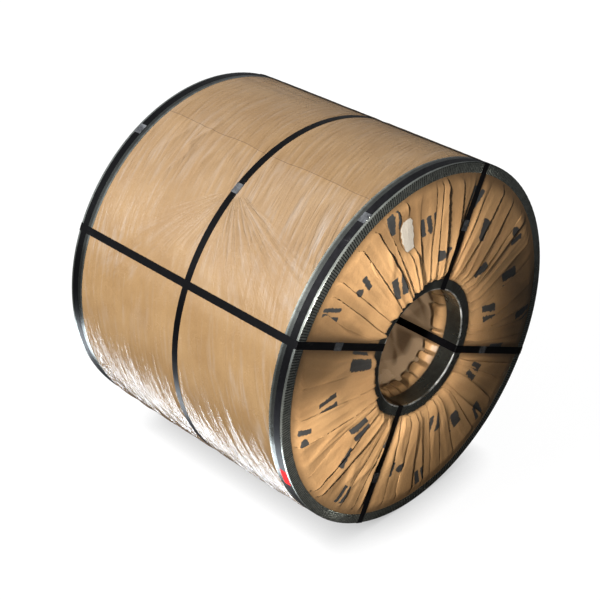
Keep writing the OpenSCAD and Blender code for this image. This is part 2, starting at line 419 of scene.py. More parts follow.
# %% How the film slants and where it is loose
BARREL_ROWS, BARREL_COLUMNS = 224, 440
SEAL_ANGLE, SEAM_ANGLE = math.radians(123), math.radians(109)
barrel_x = np.linspace(-WRAP_END_X, WRAP_END_X, BARREL_ROWS)[:, None]
barrel_angle = np.linspace(-0.5 * np.pi, 1.5 * np.pi, BARREL_COLUMNS, endpoint=False)[None, :]
barrel_s = FILM_R * barrel_angle + 0 * barrel_x
barrel_x = barrel_x + 0 * barrel_s
# Distance across a wrinkle: the place along the axis less a slant that grows towards the front
slant = 0.10 + 0.14 * ease(-0.5, 0.5, barrel_x)
across = barrel_x - slant * (barrel_s - FILM_R * SEAL_ANGLE)
across = across + 0.014 * soft_noise(barrel_x / 0.22, barrel_s / 0.45, 1)
# How loose the film is: most at the bottom, beside the front ring and below the middle seal
loose = 0.52 + 0.48 * ease(3.05, 3.55, barrel_angle)
below_seal = ease(0.0, 0.30, barrel_x) * ease(1.85, 2.05, barrel_angle) * ease(2.95, 2.5, barrel_angle)
beside_ring = ease(0.34, 0.52, barrel_x) * ease(1.9, 2.2, barrel_angle)
loose = np.maximum.reduce([loose + 0 * barrel_x, 0.75 * below_seal, 0.95 * beside_ring])
loose = loose * (0.75 + 0.5 * soft_noise(barrel_x / 0.17, barrel_s / 0.30, 2))
# The upper panel is taut, and tautest on the far side, where a value below 0 also calms the fine streaks
loose = np.where(barrel_angle < SEAM_ANGLE, 0.18 - 0.34 * ease(1.1, 0.6, barrel_angle), loose)
print("Loosest film", round(float(loose.max()), 2))

# %% Wrinkles of the film
long_wrinkles = crease(across / 0.034, barrel_s / 0.55, 3, 3.0)
long_wrinkles = long_wrinkles + 0.6 * crease(across / 0.017, barrel_s / 0.33, 4, 3.0)
# The fan: an angle about the seal, measured from straight down, and the distance from it
from_seal_x = barrel_x - MIDDLE_STRAP_X
from_seal_s = barrel_s - FILM_R * SEAL_ANGLE
fan_angle = np.arctan2(from_seal_x, np.maximum(from_seal_s, 1e-4))
fan_reach = np.hypot(from_seal_x, from_seal_s)
in_fan = ease(-0.02, 0.05, from_seal_s) * ease(-0.5, 0.05, fan_angle) * ease(1.45, 1.1, fan_angle)
in_fan = in_fan * ease(0.02, 0.09, fan_reach) * np.exp(-fan_reach / 0.34)
# A weaker fan runs back and down from the seal to the rear ring
rear_fan = ease(-0.05, 0.10, from_seal_s) * ease(-0.12, -0.40, fan_angle) * ease(-1.1, -0.7, fan_angle)
rear_fan = rear_fan * ease(0.03, 0.12, fan_reach) * np.exp(-fan_reach / 0.45)
in_fan = np.maximum(in_fan, 0.75 * rear_fan)
fan_wrinkles = crease(fan_angle * 7.5, fan_reach / 0.5, 5, 2.5)
# Crumples near the rear seal and folds along the top
rear_crumple = np.exp(-((barrel_x + 0.30) / 0.16) ** 2 - (turn_gap(barrel_angle, 2.02) / 0.26) ** 2)
crumples = crease((barrel_x + 0.5 * barrel_s) / 0.07, (barrel_s - 0.5 * barrel_x) / 0.13, 6, 2.5)
top_folds = ease(-0.08, -0.25, barrel_x) * np.exp(-((barrel_angle - 1.28) / 0.22) ** 2)
top_lines = crease(barrel_s / 0.05, barrel_x / 0.9, 7, 4.0)
billow = 0.5 + 0.5 * soft_noise(barrel_x / 0.20, barrel_s / 0.28, 8)
print("Strongest fan", round(float(in_fan.max()), 2))

# %% The barrel's surface
BILLOW_LIFT, WRINKLE_LIFT, FAN_LIFT = 0.0014, 0.0038, 0.0070
CRUMPLE_LIFT, TOP_FOLD_LIFT, SEAM_STEP = 0.0090, 0.0022, 0.0009
lift = BILLOW_LIFT * billow + WRINKLE_LIFT * np.maximum(loose, 0) * long_wrinkles
lift = lift + FAN_LIFT * in_fan * fan_wrinkles
lift = lift + CRUMPLE_LIFT * rear_crumple * crumples + TOP_FOLD_LIFT * top_folds * top_lines
# The upper panel of paper overlaps the lower one by a low step
over_seam = ease(SEAM_ANGLE + 0.003, SEAM_ANGLE - 0.003, barrel_angle)
lift = lift + SEAM_STEP * over_seam * ease(0.2, 1.0, barrel_angle)
# Straps, rings and the floor hold the film down
held = ease(0.001, 0.022, np.abs(barrel_x - MIDDLE_STRAP_X) - STRAP_HALF)
held = held * ease(0, 0.018, RING_START_X - np.abs(barrel_x)) * free_of_straps(barrel_angle, FILM_R)
held = held * ease(0.10, 0.45, np.abs(turn_gap(barrel_angle, -0.5 * np.pi)))
lift = lift * held
barrel_points = round_axis(FILM_R + lift, barrel_angle, barrel_x)
barrel_film = grid_piece("barrel_film", barrel_points, around=True, flip=True)
print("Film lifts up to", round(1000 * float(lift.max()), 1), "mm")

# %% Values that the barrel's finish reads, with the seam's distance in millimetres
seam = FILM_R * (SEAM_ANGLE - barrel_angle) + 0.004 * soft_noise(barrel_x / 0.12, 0 * barrel_x, 9)
below_seam = ease(1.88, 1.97, barrel_angle) * ease(2.75, 2.15, barrel_angle)
# Painted sheen: a paler tone below the seam stands for the sky's reflection in the film, and one on the rear
# crumple for its folds' highlights
milky = below_seam * (0.55 + 0.45 * ease(-0.1, 0.2, barrel_x))
milky = np.maximum(milky, 0.9 * rear_crumple)
give_values(barrel_film, loose=loose, fan=in_fan, milky=milky, seam=1000 * seam)
give_flat_map(barrel_film, "along_wrinkles", across, barrel_s)
give_flat_map(barrel_film, "round_seal", fan_angle, fan_reach)
print("Stored:", [layer.name for layer in barrel_film.data.uv_layers], "and loose, fan, milky, seam")

# %% [markdown]
# The gathered end covers
# Each cover is a strip of kraft paper folded over the rim and gathered into the eye, so it falls into knife
# pleats that are deepest near the eye: a flat panel rises, folds back under itself and starts the next panel
# below. Moving points back as well as up makes such a fold in a grid, which a height alone cannot. The
# pleats are unequal: narrow and sharp at the top, broad at the left, soft at the bottom. A phase that counts
# pleats round the end gives each point its place in its own pleat.

# %% Pleats of an end cover
PLEAT_AT = np.radians([0, 40, 70, 100, 125, 150, 180, 210, 235, 260, 290, 320, 360])
PLEAT_WIDTH = np.radians([7.5, 7, 6.5, 6.5, 8, 11, 12, 9.5, 8.5, 8, 8, 7.5, 7.5])
PLEAT_SOFT = [0.5, 0.5, 0.4, 0.4, 0.4, 0.3, 0.3, 0.5, 0.9, 1.0, 0.9, 0.7, 0.5]
PLEAT_DEEP = [0.016, 0.016, 0.016, 0.016, 0.016, 0.014, 0.012, 0.014, 0.018, 0.019, 0.019, 0.018, 0.016]
PANEL_SHARE = 0.72
OVERLAP = 0.45
FRONT_SEED, REAR_SEED = 40, 90


def pleat_edges(seed):
    """Angles at which pleats begin, from 0 to a whole turn: widths from the table above, each made wider or
    narrower at random, added up and stretched to close the turn."""
    chance = np.random.default_rng(seed)
    edges = [0.0]
    while edges[-1] < 2 * np.pi:
        edges.append(edges[-1] + np.interp(edges[-1], PLEAT_AT, PLEAT_WIDTH) * chance.uniform(0.55, 1.5))
    return np.array(edges) * 2 * np.pi / edges[-1]


def knife_pleat(share, softness, overlap):
    """Height from 0 to 1 and place across, in pleat widths, at a share of the way along a pleat's paper. The
    panel climbs to a crest beyond the pleat's end by the overlap, and the rest of the paper returns under
    it. Soft panels are round as a quarter circle is, and sharp ones are flat with a curl at the crest."""
    rise = np.clip(share / PANEL_SHARE, 0, 1)
    back = np.clip((share - PANEL_SHARE) / (1 - PANEL_SHARE), 0, 1)
    panel = softness * np.sqrt(1 - (1 - rise) ** 2) + (1 - softness) * (0.6 * rise + 0.4 * rise ** 3)
    return panel * (1 - back), (1 + overlap) * rise - overlap * back


print("Pleats round the front end:", len(pleat_edges(FRONT_SEED)) - 1)

# %% Fold lines in the broad panels
FOLD_LINES = 36


def fold_lines(radius, angle, seed):
    """Straight creases in the broad panels: each is a line in the end's plane with a low roof over it, which
    falls off with the distance from the line and fades towards the line's two ends."""
    chance = np.random.default_rng(seed)
    y, z = radius * np.cos(angle), radius * np.sin(angle)
    height = np.zeros(np.broadcast(y, z).shape)
    for _ in range(FOLD_LINES):
        middle = math.radians(chance.uniform(115, 260))
        middle_r = chance.uniform(0.36, 0.62)
        heading = middle + chance.uniform(-0.4, 0.4)
        half_long, half_wide = chance.uniform(0.08, 0.20), chance.uniform(0.012, 0.030)
        rise = chance.uniform(0.0015, 0.0040)
        dy, dz = y - middle_r * math.cos(middle), z - middle_r * math.sin(middle)
        along = np.abs(dy * math.cos(heading) + dz * math.sin(heading))
        aside = np.abs(dz * math.cos(heading) - dy * math.sin(heading))
        roof = np.maximum(0, 1 - aside / half_wide)
        height = height + rise * roof * ease(half_long, 0.3 * half_long, along)
    return height


print(FOLD_LINES, "fold lines on each cover")

# %% The lift of an end cover
OUTER_LEG_R, INNER_LEG_R = 0.7351, 0.2966
LABEL_R, LABEL_ANGLE = 0.5728, math.radians(102)
RIDGE_LIFT, SLOW_LIFT = 0.0036, 0.002
BULGE_AT = np.radians([0, 60, 90, 110, 150, 190, 215, 240, 360])
TUCK = [0.070, 0.060, 0.045, 0.040, 0.040, 0.040, 0.045, 0.060, 0.070]
BULGE = [0.000, 0.001, 0.005, 0.010, 0.013, 0.012, 0.005, 0.000, 0.000]


def cover_fold(radius, angle, seed):
    """How far an end cover lifts from its flat ring, and how far round its points move: straight knife
    pleats, each skewed a little from the radius and fading towards the rim at its own place, with soft
    ridges, fold lines, a slow billow and a bulge beside the eye. The crests lean down and to the right.
    Rings, straps and the label press it flat."""
    turn = angle % (2 * np.pi)
    edges = pleat_edges(seed)
    skewed = turn + 0.30 * soft_noise(5 * np.cos(angle), 5 * np.sin(angle), seed) * (radius - 0.5)
    phase = np.interp(skewed % (2 * np.pi), edges, np.arange(len(edges)))
    number = np.minimum(np.floor(phase), len(edges) - 2)
    width = np.diff(edges)[number.astype(int)]
    leans_on = (turn > EYE_STRAP_ANGLES[1]) & (turn < EYE_STRAP_ANGLES[3])
    share = np.where(leans_on, phase - number, 1 - phase + number)
    fades_at = 0.76 + 0.12 * soft_noise(number * 1.31, number * 0.57, seed + 1)
    reach = 0.10 + 0.90 * ease(fades_at, fades_at - 0.46, radius)
    strength = reach * (0.74 + 0.44 * soft_noise(number * 1.73, number * 0.37, seed + 2))
    tucked = np.interp(turn, BULGE_AT, TUCK)
    press = ease(OUTER_LEG_R + 0.001, OUTER_LEG_R - 0.05, radius)
    press = press * ease(INNER_LEG_R, INNER_LEG_R + 0.009, radius)
    press = press * (0.40 + 0.60 * ease(INNER_LEG_R, INNER_LEG_R + tucked, radius))
    off_label = np.hypot((radius - LABEL_R) / 0.10, LABEL_R * turn_gap(angle, LABEL_ANGLE) / 0.055)
    loose = press * free_of_straps(angle, radius, 0.002, 0.034)
    strength = strength * loose * (0.02 + 0.98 * ease(0.7, 1.3, off_label))
    panel, across = knife_pleat(share, np.interp(turn, PLEAT_AT, PLEAT_SOFT), OVERLAP * strength)
    height = strength * np.interp(turn, PLEAT_AT, PLEAT_DEEP) * panel
    shift = np.where(leans_on, 1, -1) * ease(0, 0.12, strength) * (across - share) * width
    shift = shift * free_of_straps(angle, radius, 0.0, 0.08)
    ridges = crease(15 * skewed, radius / 0.30, seed + 4, 2.0)
    ridges = ridges + 0.5 * crease(31 * skewed, radius / 0.16, seed + 5, 2.0)
    height = height + RIDGE_LIFT * loose * (0.35 + 0.65 * reach) * ridges
    billow = SLOW_LIFT * (1 + soft_noise(3 * np.cos(angle), 3 * np.sin(angle) + radius / 0.2, seed + 6))
    billow = billow + np.interp(turn, BULGE_AT, BULGE) * ease(0.46, 0.31, radius)
    return height + loose * (billow + fold_lines(radius, angle, seed + 7)), shift


print("The label presses on the cover", LABEL_R, "m from the axis")

# %% [markdown]
# Printing on the front cover
# The kraft paper of the front cover carries grey printed marks. The marks here are plain bars and discs of
# the maker's own. Each point of the cover stores its distance to the nearest mark's edge, below 0 inside it.
# A material can cut a clean edge at 0 from such distances, even on a coarse grid, and the marks bend with
# the pleats.

# %% Distances to the printed marks
MARK_COUNT = 27
MARK_RINGS = (0.415, 0.545, 0.665)


def bar_distance(u, v, half_long, half_wide):
    """Signed distance to an upright rectangle: the larger of the two overshoots, which is close enough near
    it."""
    return np.maximum(np.abs(u) - half_long, np.abs(v) - half_wide)


def stripes_mark(u, v):
    """Three thick bars side by side."""
    return np.minimum.reduce([bar_distance(u, v - 0.026 * k, 0.040, 0.0085) for k in (-1, 0, 1)])


def disc_mark(u, v):
    """A solid disc over a thick bar."""
    return np.minimum(np.hypot(u, v - 0.016) - 0.022, bar_distance(u, v + 0.024, 0.034, 0.008))


def pair_mark(u, v):
    """A thick bar beside a thin one."""
    return np.minimum(bar_distance(u, v - 0.012, 0.046, 0.014), bar_distance(u, v + 0.020, 0.046, 0.006))


def print_distance(radius, angle, seed):
    """Distance to the nearest of the marks, which stand in three uneven rings, each turned by a random
    angle."""
    chance = np.random.default_rng(seed)
    nearest = np.full(np.broadcast(radius, angle).shape, 1.0)
    for number in range(MARK_COUNT):
        middle_r = MARK_RINGS[number % 3] + chance.uniform(-0.025, 0.025)
        middle = 2 * np.pi * (number + chance.uniform(-0.25, 0.25)) / MARK_COUNT
        tilt = chance.uniform(-0.25, 0.25)
        out, side = radius - middle_r, middle_r * turn_gap(angle, middle)
        u = out * np.cos(tilt) + side * np.sin(tilt)
        v = side * np.cos(tilt) - out * np.sin(tilt)
        mark = (stripes_mark, disc_mark, pair_mark)[int(chance.integers(3))]
        nearest = np.minimum(nearest, mark(u, v))
    return nearest


print(MARK_COUNT, "printed marks on the front cover")

# %% [markdown]
# The covers' surface
# From the rim the sheet runs in across the end, turns round the coil's corner and goes into the eye as a
# fringe of box pleats. One grid follows that whole path, so the sheet has no seam: rows go along the path
# and columns round the eye.

# %% Front and rear covers
COVER_R, COVER_X = 0.7741, 0.6263
EYE_TURN_R, FRINGE_R = 0.2546, 0.2524
COVER_COLUMNS = 1140
FACE_ROWS, TURN_ROWS, FRINGE_ROWS = 62, 4, 20
OVERHANG = [0.0, 0.5, 1.2, 1.6, 1.8, 1.6, 0.8, 0.3, 0.0]
FRINGE_LENGTH, FRINGE_LIFT = 0.139, 0.017
RING_LEG_END_X = 0.5471
FRINGE_PLEATS = 27


def fringe_height(angle, depth_x, seed):
    """How far the fringe stands off the eye's wall: box pleats, flat behind the inner ring's leg and opening
    towards the free edge."""
    t = FRINGE_PLEATS * angle / (2 * np.pi) + 0.35 * soft_noise(angle * 5, depth_x / 0.1, seed)
    box = ease(0.06, 0.18, t % 1) * ease(0.92, 0.80, t % 1)
    opening = ease(RING_LEG_END_X + 0.002, RING_LEG_END_X - 0.035, depth_x)
    slack = 0.7 + 0.35 * soft_noise(np.floor(t) * 1.7, depth_x / 0.2, seed + 1)
    return opening * FRINGE_LIFT * slack * box * free_of_straps(angle, FRINGE_R, 0.001, 0.012)


def end_cover(name, side, seed, printed):
    """The path from rim to fringe as radius and height, lifted by the pleats and leant over with them. Ink
    holds the distance to a mark in millimetres, and a cover that isn't printed stores one far from any
    mark."""
    angle = np.linspace(0, 2 * np.pi, COVER_COLUMNS, endpoint=False)[None, :]
    face_r = np.linspace(COVER_R, EYE_TURN_R, FACE_ROWS)[:, None]
    lifted, shift = cover_fold(face_r, angle, seed)
    overhang = np.interp(angle, BULGE_AT, OVERHANG) * ease(0.44, 0.32, face_r) * np.maximum(0, lifted - 0.004)
    face = round_axis(face_r - overhang, angle + shift, side * (COVER_X + lifted))
    turn = np.linspace(0, 0.5 * np.pi, TURN_ROWS + 1)[1:, None]
    corner = EYE_TURN_R - FRINGE_R
    bend_x = COVER_X - corner + corner * np.cos(turn)
    bend = round_axis(EYE_TURN_R - corner * np.sin(turn), angle, side * bend_x)
    share = np.linspace(0, 1, FRINGE_ROWS + 1)[1:, None]
    ragged = FRINGE_LENGTH * (1 + 0.07 * soft_noise(angle * 8, 0 * angle, seed + 20))
    fringe_x = COVER_X - corner - share * ragged
    boxes = fringe_height(angle, fringe_x, seed + 21)
    fringe = round_axis(FRINGE_R - boxes, angle, side * fringe_x)
    piece = grid_piece(name, np.concatenate([face, bend, fringe]), around=True, flip=side > 0)
    radius = np.concatenate([face_r + 0 * angle, np.zeros((TURN_ROWS + FRINGE_ROWS, COVER_COLUMNS))])
    ink = np.where((radius > 0) & printed, print_distance(radius, angle, seed + 30), 1.0)
    # Raised holds the lift, and the finish darkens low places with painted shade; the hidden bend's rows hold
    # 0
    hidden = np.zeros((TURN_ROWS, COVER_COLUMNS))
    give_values(piece, ink=1000 * ink, raised=np.concatenate([lifted / 0.02, hidden, boxes / 0.03]))
    print(name, "rises", round(1000 * float(lifted.max()), 1), "mm")
    return piece


front_cover = end_cover("front_cover", 1, FRONT_SEED, printed=True)
rear_cover = end_cover("rear_cover", -1, REAR_SEED, printed=False)

# %% [markdown]
# The paper liner in the eye
# The wall of the eye is lined with a plainer, darker paper with sharp folds. They could be modelled one by
# one, but triangle waves in three directions leave flat panels with creases between them, as refolded paper
# has. The waves start anew between each two straps, and the liner stays flat where the fringes lie over it.

# %% Liner
LINER_R = 0.2531
LINER_ROWS, LINER_COLUMNS = 150, 260
LINER_FOLDS = [(0.5, 0.11, 0.0), (-0.7, 0.15, 0.4), (1.2, 0.09, 0.8)]
PANEL_LIFT, LINER_CREASE_LIFT, LINER_BILLOW_LIFT = 0.0200, 0.0030, 0.0040
liner_x = np.linspace(-WRAP_END_X, WRAP_END_X, LINER_ROWS)[:, None]
liner_angle = np.linspace(0, 2 * np.pi, LINER_COLUMNS, endpoint=False)[None, :]
liner_y, liner_z = np.cos(liner_angle), np.sin(liner_angle)
liner_creases = crease(liner_x / 0.16 + 2 * liner_y, 2 * liner_z + 0.5 * liner_x / 0.16, 150, 2.5)
quarter_turn = (liner_angle - EYE_STRAP_ANGLES[0]) / (0.5 * np.pi)
liner_side = 0.5 * np.pi * LINER_R * (quarter_turn % 1 - 0.5)
liner_panels = 0 * liner_x + 0 * liner_angle
# Each fold has a heading, a panel's width and a start that moves on from one quarter to the next
for heading, wave, start in LINER_FOLDS:
    step = (liner_x * math.cos(heading) + liner_side * math.sin(heading)) / wave + start
    step = step + 0.37 * np.floor(quarter_turn % 4)
    liner_panels = liner_panels + (1 - np.abs(step % 2 - 1)) / len(LINER_FOLDS)
liner_billow = 0.5 + 0.5 * soft_noise(liner_x / 0.25 + 2 * liner_y, 2 * liner_z, 151)
liner_lift = PANEL_LIFT * liner_panels + LINER_CREASE_LIFT * liner_creases + LINER_BILLOW_LIFT * liner_billow
liner_lift = liner_lift * ease(0.50, 0.40, np.abs(liner_x))
liner_lift = liner_lift * free_of_straps(liner_angle, LINER_R, 0.001, 0.03)
eye_liner = grid_piece("eye_liner", round_axis(LINER_R - liner_lift, liner_angle, liner_x), around=True)
# Tilt is above one half where a panel faces the front mouth of the eye, and the finish paints such panels
# paler: painted light
liner_tilt = -np.gradient(liner_lift, 2 * WRAP_END_X / (LINER_ROWS - 1), axis=0)
give_values(eye_liner, tilt=0.5 + 2.5 * liner_tilt)

# %% [markdown]
# The torn label
# A blank paper label is stuck across a few pleats. It is a small grid that follows the cover's own height
# formula, so it dips where the pleats dip, and its edges wander as torn paper does.

# %% Label on the front cover
LABEL_LONG, LABEL_WIDE = 0.140, 0.064
LABEL_PROUD = 0.0012
label_u = np.linspace(-1, 1, 60)[:, None]
label_v = np.linspace(-1, 1, 36)[None, :]
torn_ends = 1 - 0.10 * label_v ** 2 + 0.07 * soft_noise(4 * label_v, 0 * label_u, 160)
torn_sides = 1 - 0.22 * np.abs(label_u) ** 3 + 0.10 * soft_noise(4 * label_u, 0 * label_v, 161)
label_r = LABEL_R + 0.5 * LABEL_LONG * label_u * torn_ends
label_angle = LABEL_ANGLE + 0.5 * LABEL_WIDE * label_v * torn_sides / LABEL_R
label_height, label_shift = cover_fold(label_r, label_angle, FRONT_SEED)
label_x = COVER_X + label_height + LABEL_PROUD
torn_label = grid_piece("torn_label", round_axis(label_r, label_angle + label_shift, label_x))

# %% [markdown]
# Shared effects
# Kraft paper shows fibres and a cloudy tone, and metal and film show scuffs. Both are used by several
# finishes, so each is a node group that is built once. A group gives out only colours, masks, heights and
# roughness.

# %% Helpers for groups and textures
def noise(tree, vector, scale, detail=3.0, roughness=0.5, dimensions="3D"):
    """The value of a noise texture at a scale."""
    inputs = {"Vector": vector, "Scale": scale, "Detail": detail, "Roughness": roughness}
    return add_node(tree, "ShaderNodeTexNoise", inputs, noise_dimensions=dimensions).outputs["Fac"]


def stretch(tree, vector, scale):
    """A vector multiplied by a scale on each axis."""
    return add_node(tree, "ShaderNodeMapping", {"Vector": vector, "Scale": scale}).outputs["Vector"]


def attribute(tree, name):
    """The number that a piece stores under a name."""
    return add_node(tree, "ShaderNodeAttribute", attribute_name=name).outputs["Fac"]


def set_bump(tree, shader, height, strength, distance):
    """A bump from a height, put on the shader's Normal."""
    bump = add_node(tree, "ShaderNodeBump", {"Height": height, "Strength": strength, "Distance": distance})
    tree.links.new(bump.outputs["Normal"], shader.inputs["Normal"])


def new_group(name, inputs, outputs):
    """An empty node group with named sockets, returned with what comes in and what goes out."""
    group = bpy.data.node_groups.new(name, "ShaderNodeTree")
    for sockets, way in ((inputs, "INPUT"), (outputs, "OUTPUT")):
        for socket, kind in sockets.items():
            group.interface.new_socket(socket, in_out=way, socket_type="NodeSocket" + kind)
    return group, group.nodes.new("NodeGroupInput").outputs, group.nodes.new("NodeGroupOutput").inputs


def use_group(tree, group, inputs):
    """The group placed in a material with its own values."""
    return add_node(tree, "ShaderNodeGroup", inputs, node_tree=group).outputs


# %% Kraft paper group
kraft_group, comes_in, goes_out = new_group(
    "kraft_paper",
    {"Vector": "Vector", "Light": "Color", "Dark": "Color"},
    {"Color": "Color", "Height": "Float", "Roughness": "Float"},
)
clouds = noise(kraft_group, comes_in["Vector"], 5.0, 4.0, 0.6)
specks = noise(kraft_group, comes_in["Vector"], 160.0, 3.0, 0.7)
fibres = noise(kraft_group, stretch(kraft_group, comes_in["Vector"], (40, 260, 260)), 1.0, 2.0, 0.6)
cloud_tone = band(kraft_group, clouds, 0.3, 0.7, 0.0, 0.7)
tone = maths(kraft_group, "ADD", cloud_tone, band(kraft_group, specks, 0.3, 0.7, 0.0, 0.3))
feed(kraft_group, goes_out["Color"], blend(kraft_group, tone, comes_in["Light"], comes_in["Dark"]))
feed(kraft_group, goes_out["Height"], maths(kraft_group, "ADD", fibres, specks))
feed(kraft_group, goes_out["Roughness"], band(kraft_group, clouds, 0.3, 0.7, 0.32, 0.48))
print("Group", kraft_group.name, "has", len(kraft_group.nodes), "nodes")

# %% Scuffs group
scuff_group, comes_in, goes_out = new_group(
    "scuffs",
    {"Vector": "Vector", "Amount": "Float"},
    {"Mask": "Float", "Patches": "Float"},
)
patches = noise(scuff_group, comes_in["Vector"], 9.0, 5.0, 0.65)
scratches = noise(scuff_group, stretch(scuff_group, comes_in["Vector"], (30, 30, 260)), 1.0, 3.0, 0.7)
scratched = band(scuff_group, scratches, 0.55, 0.72)
patchy = maths(scuff_group, "MULTIPLY", band(scuff_group, patches, 0.52, 0.68), scratched)
feed(scuff_group, goes_out["Mask"], maths(scuff_group, "MULTIPLY", patchy, comes_in["Amount"]))
feed(scuff_group, goes_out["Patches"], patches)
print("Group", scuff_group.name, "has", len(scuff_group.nodes), "nodes")

# %% [markdown]
# Paper under film
# The film's fine streaks follow the wrinkles, so they are noise on the flat map that was stored with the
# mesh, drawn out along the wrinkle. Where the film is loose its streaks are painted paler, partly the film's
# own haze and partly painted sheen, and the loosest film is also the glossiest. Below the seam and on the
# rear crumple a paler tone is painted sheen, for the sky's reflection and the folds' highlights.

# %% A finish of kraft paper
def kraft_finish(name, specular, light, dark):
    """A material in the tones and roughness of kraft paper, returned with what later steps change or add
    to."""
    finish, tree, shader, place = new_finish(name, Specular_IOR_Level=specular)
    paper = use_group(tree, kraft_group, {"Vector": place, "Light": light, "Dark": dark})
    tree.links.new(paper["Color"], shader.inputs["Base Color"])
    tree.links.new(paper["Roughness"], shader.inputs["Roughness"])
    return finish, tree, shader, place, paper


# %% Barrel finish
BARREL_LIGHT, BARREL_DARK = (0.56, 0.350, 0.165, 1), (0.41, 0.235, 0.098, 1)
UPPER_TONE, SEAM_TONE = (0.34, 0.195, 0.085, 1), (0.16, 0.09, 0.05, 1)
# Tones of the painted sheen and of the pale streaks, which are partly painted sheen
SHEEN_TONE, STREAK_SHEEN_TONE = (0.60, 0.44, 0.31, 1), (0.80, 0.74, 0.68, 1)
film_finish, tree, shader, place, paper = kraft_finish("paper_under_film", 0.55, BARREL_LIGHT, BARREL_DARK)
wrinkle_map = add_node(tree, "ShaderNodeUVMap", uv_map="along_wrinkles").outputs["UV"]
seal_map = add_node(tree, "ShaderNodeUVMap", uv_map="round_seal").outputs["UV"]
streaks = noise(tree, stretch(tree, wrinkle_map, (44, 4.5, 1)), 1.0, 3.0, 0.55, "2D")
fan_streaks = noise(tree, stretch(tree, seal_map, (14, 4, 1)), 1.0, 5.0, 0.62, "2D")
fan_share = band(tree, attribute(tree, "fan"), 0.05, 0.4)
either_streak = {"Factor": fan_share, "A": streaks, "B": fan_streaks}
streak = add_node(tree, "ShaderNodeMix", either_streak).outputs["Result"]
looseness = attribute(tree, "loose")
# Pale streaks where the film is loose: partly the film's own haze, partly painted sheen
haze_and_sheen = maths(tree, "MULTIPLY", band(tree, streak, 0.50, 0.74, 0.0, 0.44), looseness)
# Painted sheen, streaked by the same noise
sheen_share = maths(tree, "MULTIPLY", attribute(tree, "milky"), band(tree, streak, 0.30, 0.70, 0.16, 0.36))
seam_at = attribute(tree, "seam")
upper_panel = band(tree, seam_at, -0.6, 0.6, 0.0, 0.20)
seam_line = maths(tree, "MULTIPLY", band(tree, seam_at, -2.6, -0.6), band(tree, seam_at, 2.0, 0.0, 0.0, 0.75))
panelled = blend(tree, upper_panel, paper["Color"], UPPER_TONE)
sheened = blend(tree, sheen_share, panelled, SHEEN_TONE)
streaked = blend(tree, haze_and_sheen, sheened, STREAK_SHEEN_TONE)
tree.links.new(blend(tree, seam_line, streaked, SEAM_TONE), shader.inputs["Base Color"])
scuff = use_group(tree, scuff_group, {"Vector": place, "Amount": 1.0})
dull = band(tree, scuff["Patches"], 0.3, 0.7, 0.16, 0.34)
shine = band(tree, looseness, 0.65, 0.95, 1.0, 0.28)
tree.links.new(maths(tree, "MULTIPLY", dull, shine), shader.inputs["Roughness"])
bump_share = maths(tree, "ADD", looseness, 0.26)
set_bump(tree, shader, maths(tree, "MULTIPLY", streak, bump_share), 0.9, 0.010)
barrel_film.data.materials.append(film_finish)
print(film_finish.name, "has", len(tree.nodes), "nodes")

# %% [markdown]
# Kraft of the covers and the liner
# The covers are a warmer, waxier kraft, with grey print on the front one. The print is the stored distance
# cut at 0, with a ragged noise added first, so its edges and its tone are uneven as on real sacks. The
# hollows of the pleats and the gaps of the fringe are darkened with painted shade. The liner is dark, and its
# panels that face the eye's mouth, where the light comes in, are painted a paler tone by the tilt that the
# mesh
# stores: painted light. The lamp alone could do that, but its light comes in along the wall and tells the
# panels apart too little.

# %% Cover finish
COVER_LIGHT, COVER_DARK = (0.50, 0.30, 0.140, 1), (0.36, 0.200, 0.085, 1)
INK = (0.026, 0.032, 0.036, 1)
cover_finish, tree, shader, place, paper = kraft_finish("printed_kraft", 0.5, COVER_LIGHT, COVER_DARK)
ragged = band(tree, noise(tree, place, 70.0, 3.0), 0.3, 0.7, -2.2, 2.2)
inked = band(tree, maths(tree, "ADD", attribute(tree, "ink"), ragged), 0.9, -0.9, 0.0, 0.96)
# Painted shade: the paper darkens where the stored height is low, in the pleats' hollows and the fringe's
# gaps
hollow_shade = band(tree, attribute(tree, "raised"), 0.0, 0.40, 0.36, 1.0)
shade_grey = add_node(tree, "ShaderNodeCombineColor", {0: hollow_shade, 1: hollow_shade, 2: hollow_shade}).outputs["Color"]
shaded = blend(tree, 1.0, paper["Color"], shade_grey, "MULTIPLY")
tree.links.new(blend(tree, inked, shaded, INK), shader.inputs["Base Color"])
fibre_height = maths(tree, "MULTIPLY", paper["Height"], 0.12)
wrinkle = maths(tree, "ADD", noise(tree, place, 45.0, 4.0, 0.6), fibre_height)
set_bump(tree, shader, wrinkle, 0.35, 0.004)
front_cover.data.materials.append(cover_finish)
rear_cover.data.materials.append(cover_finish)
print(cover_finish.name, "has", len(tree.nodes), "nodes")

# %% Liner finish
LINER_LIGHT, LINER_DARK = (0.25, 0.160, 0.090, 1), (0.17, 0.105, 0.058, 1)
LIT_PANEL_TONE = (0.56, 0.390, 0.24, 1)
liner_finish, tree, shader, place, paper = kraft_finish("liner_kraft", 0.6, LINER_LIGHT, LINER_DARK)
# Painted light: panels that face the eye's mouth take a paler tone by their tilt
lit_panel_share = band(tree, attribute(tree, "tilt"), 0.3, 0.8, 0.0, 0.9)
tree.links.new(blend(tree, lit_panel_share, paper["Color"], LIT_PANEL_TONE), shader.inputs["Base Color"])
tree.links.new(band(tree, paper["Roughness"], 0.32, 0.48, 0.16, 0.30), shader.inputs["Roughness"])
fibre_height = maths(tree, "MULTIPLY", paper["Height"], 0.3)
set_bump(tree, shader, maths(tree, "ADD", noise(tree, place, 20.0, 4.0), fibre_height), 0.5, 0.006)
eye_liner.data.materials.append(liner_finish)
print(liner_finish.name, "has", len(tree.nodes), "nodes")

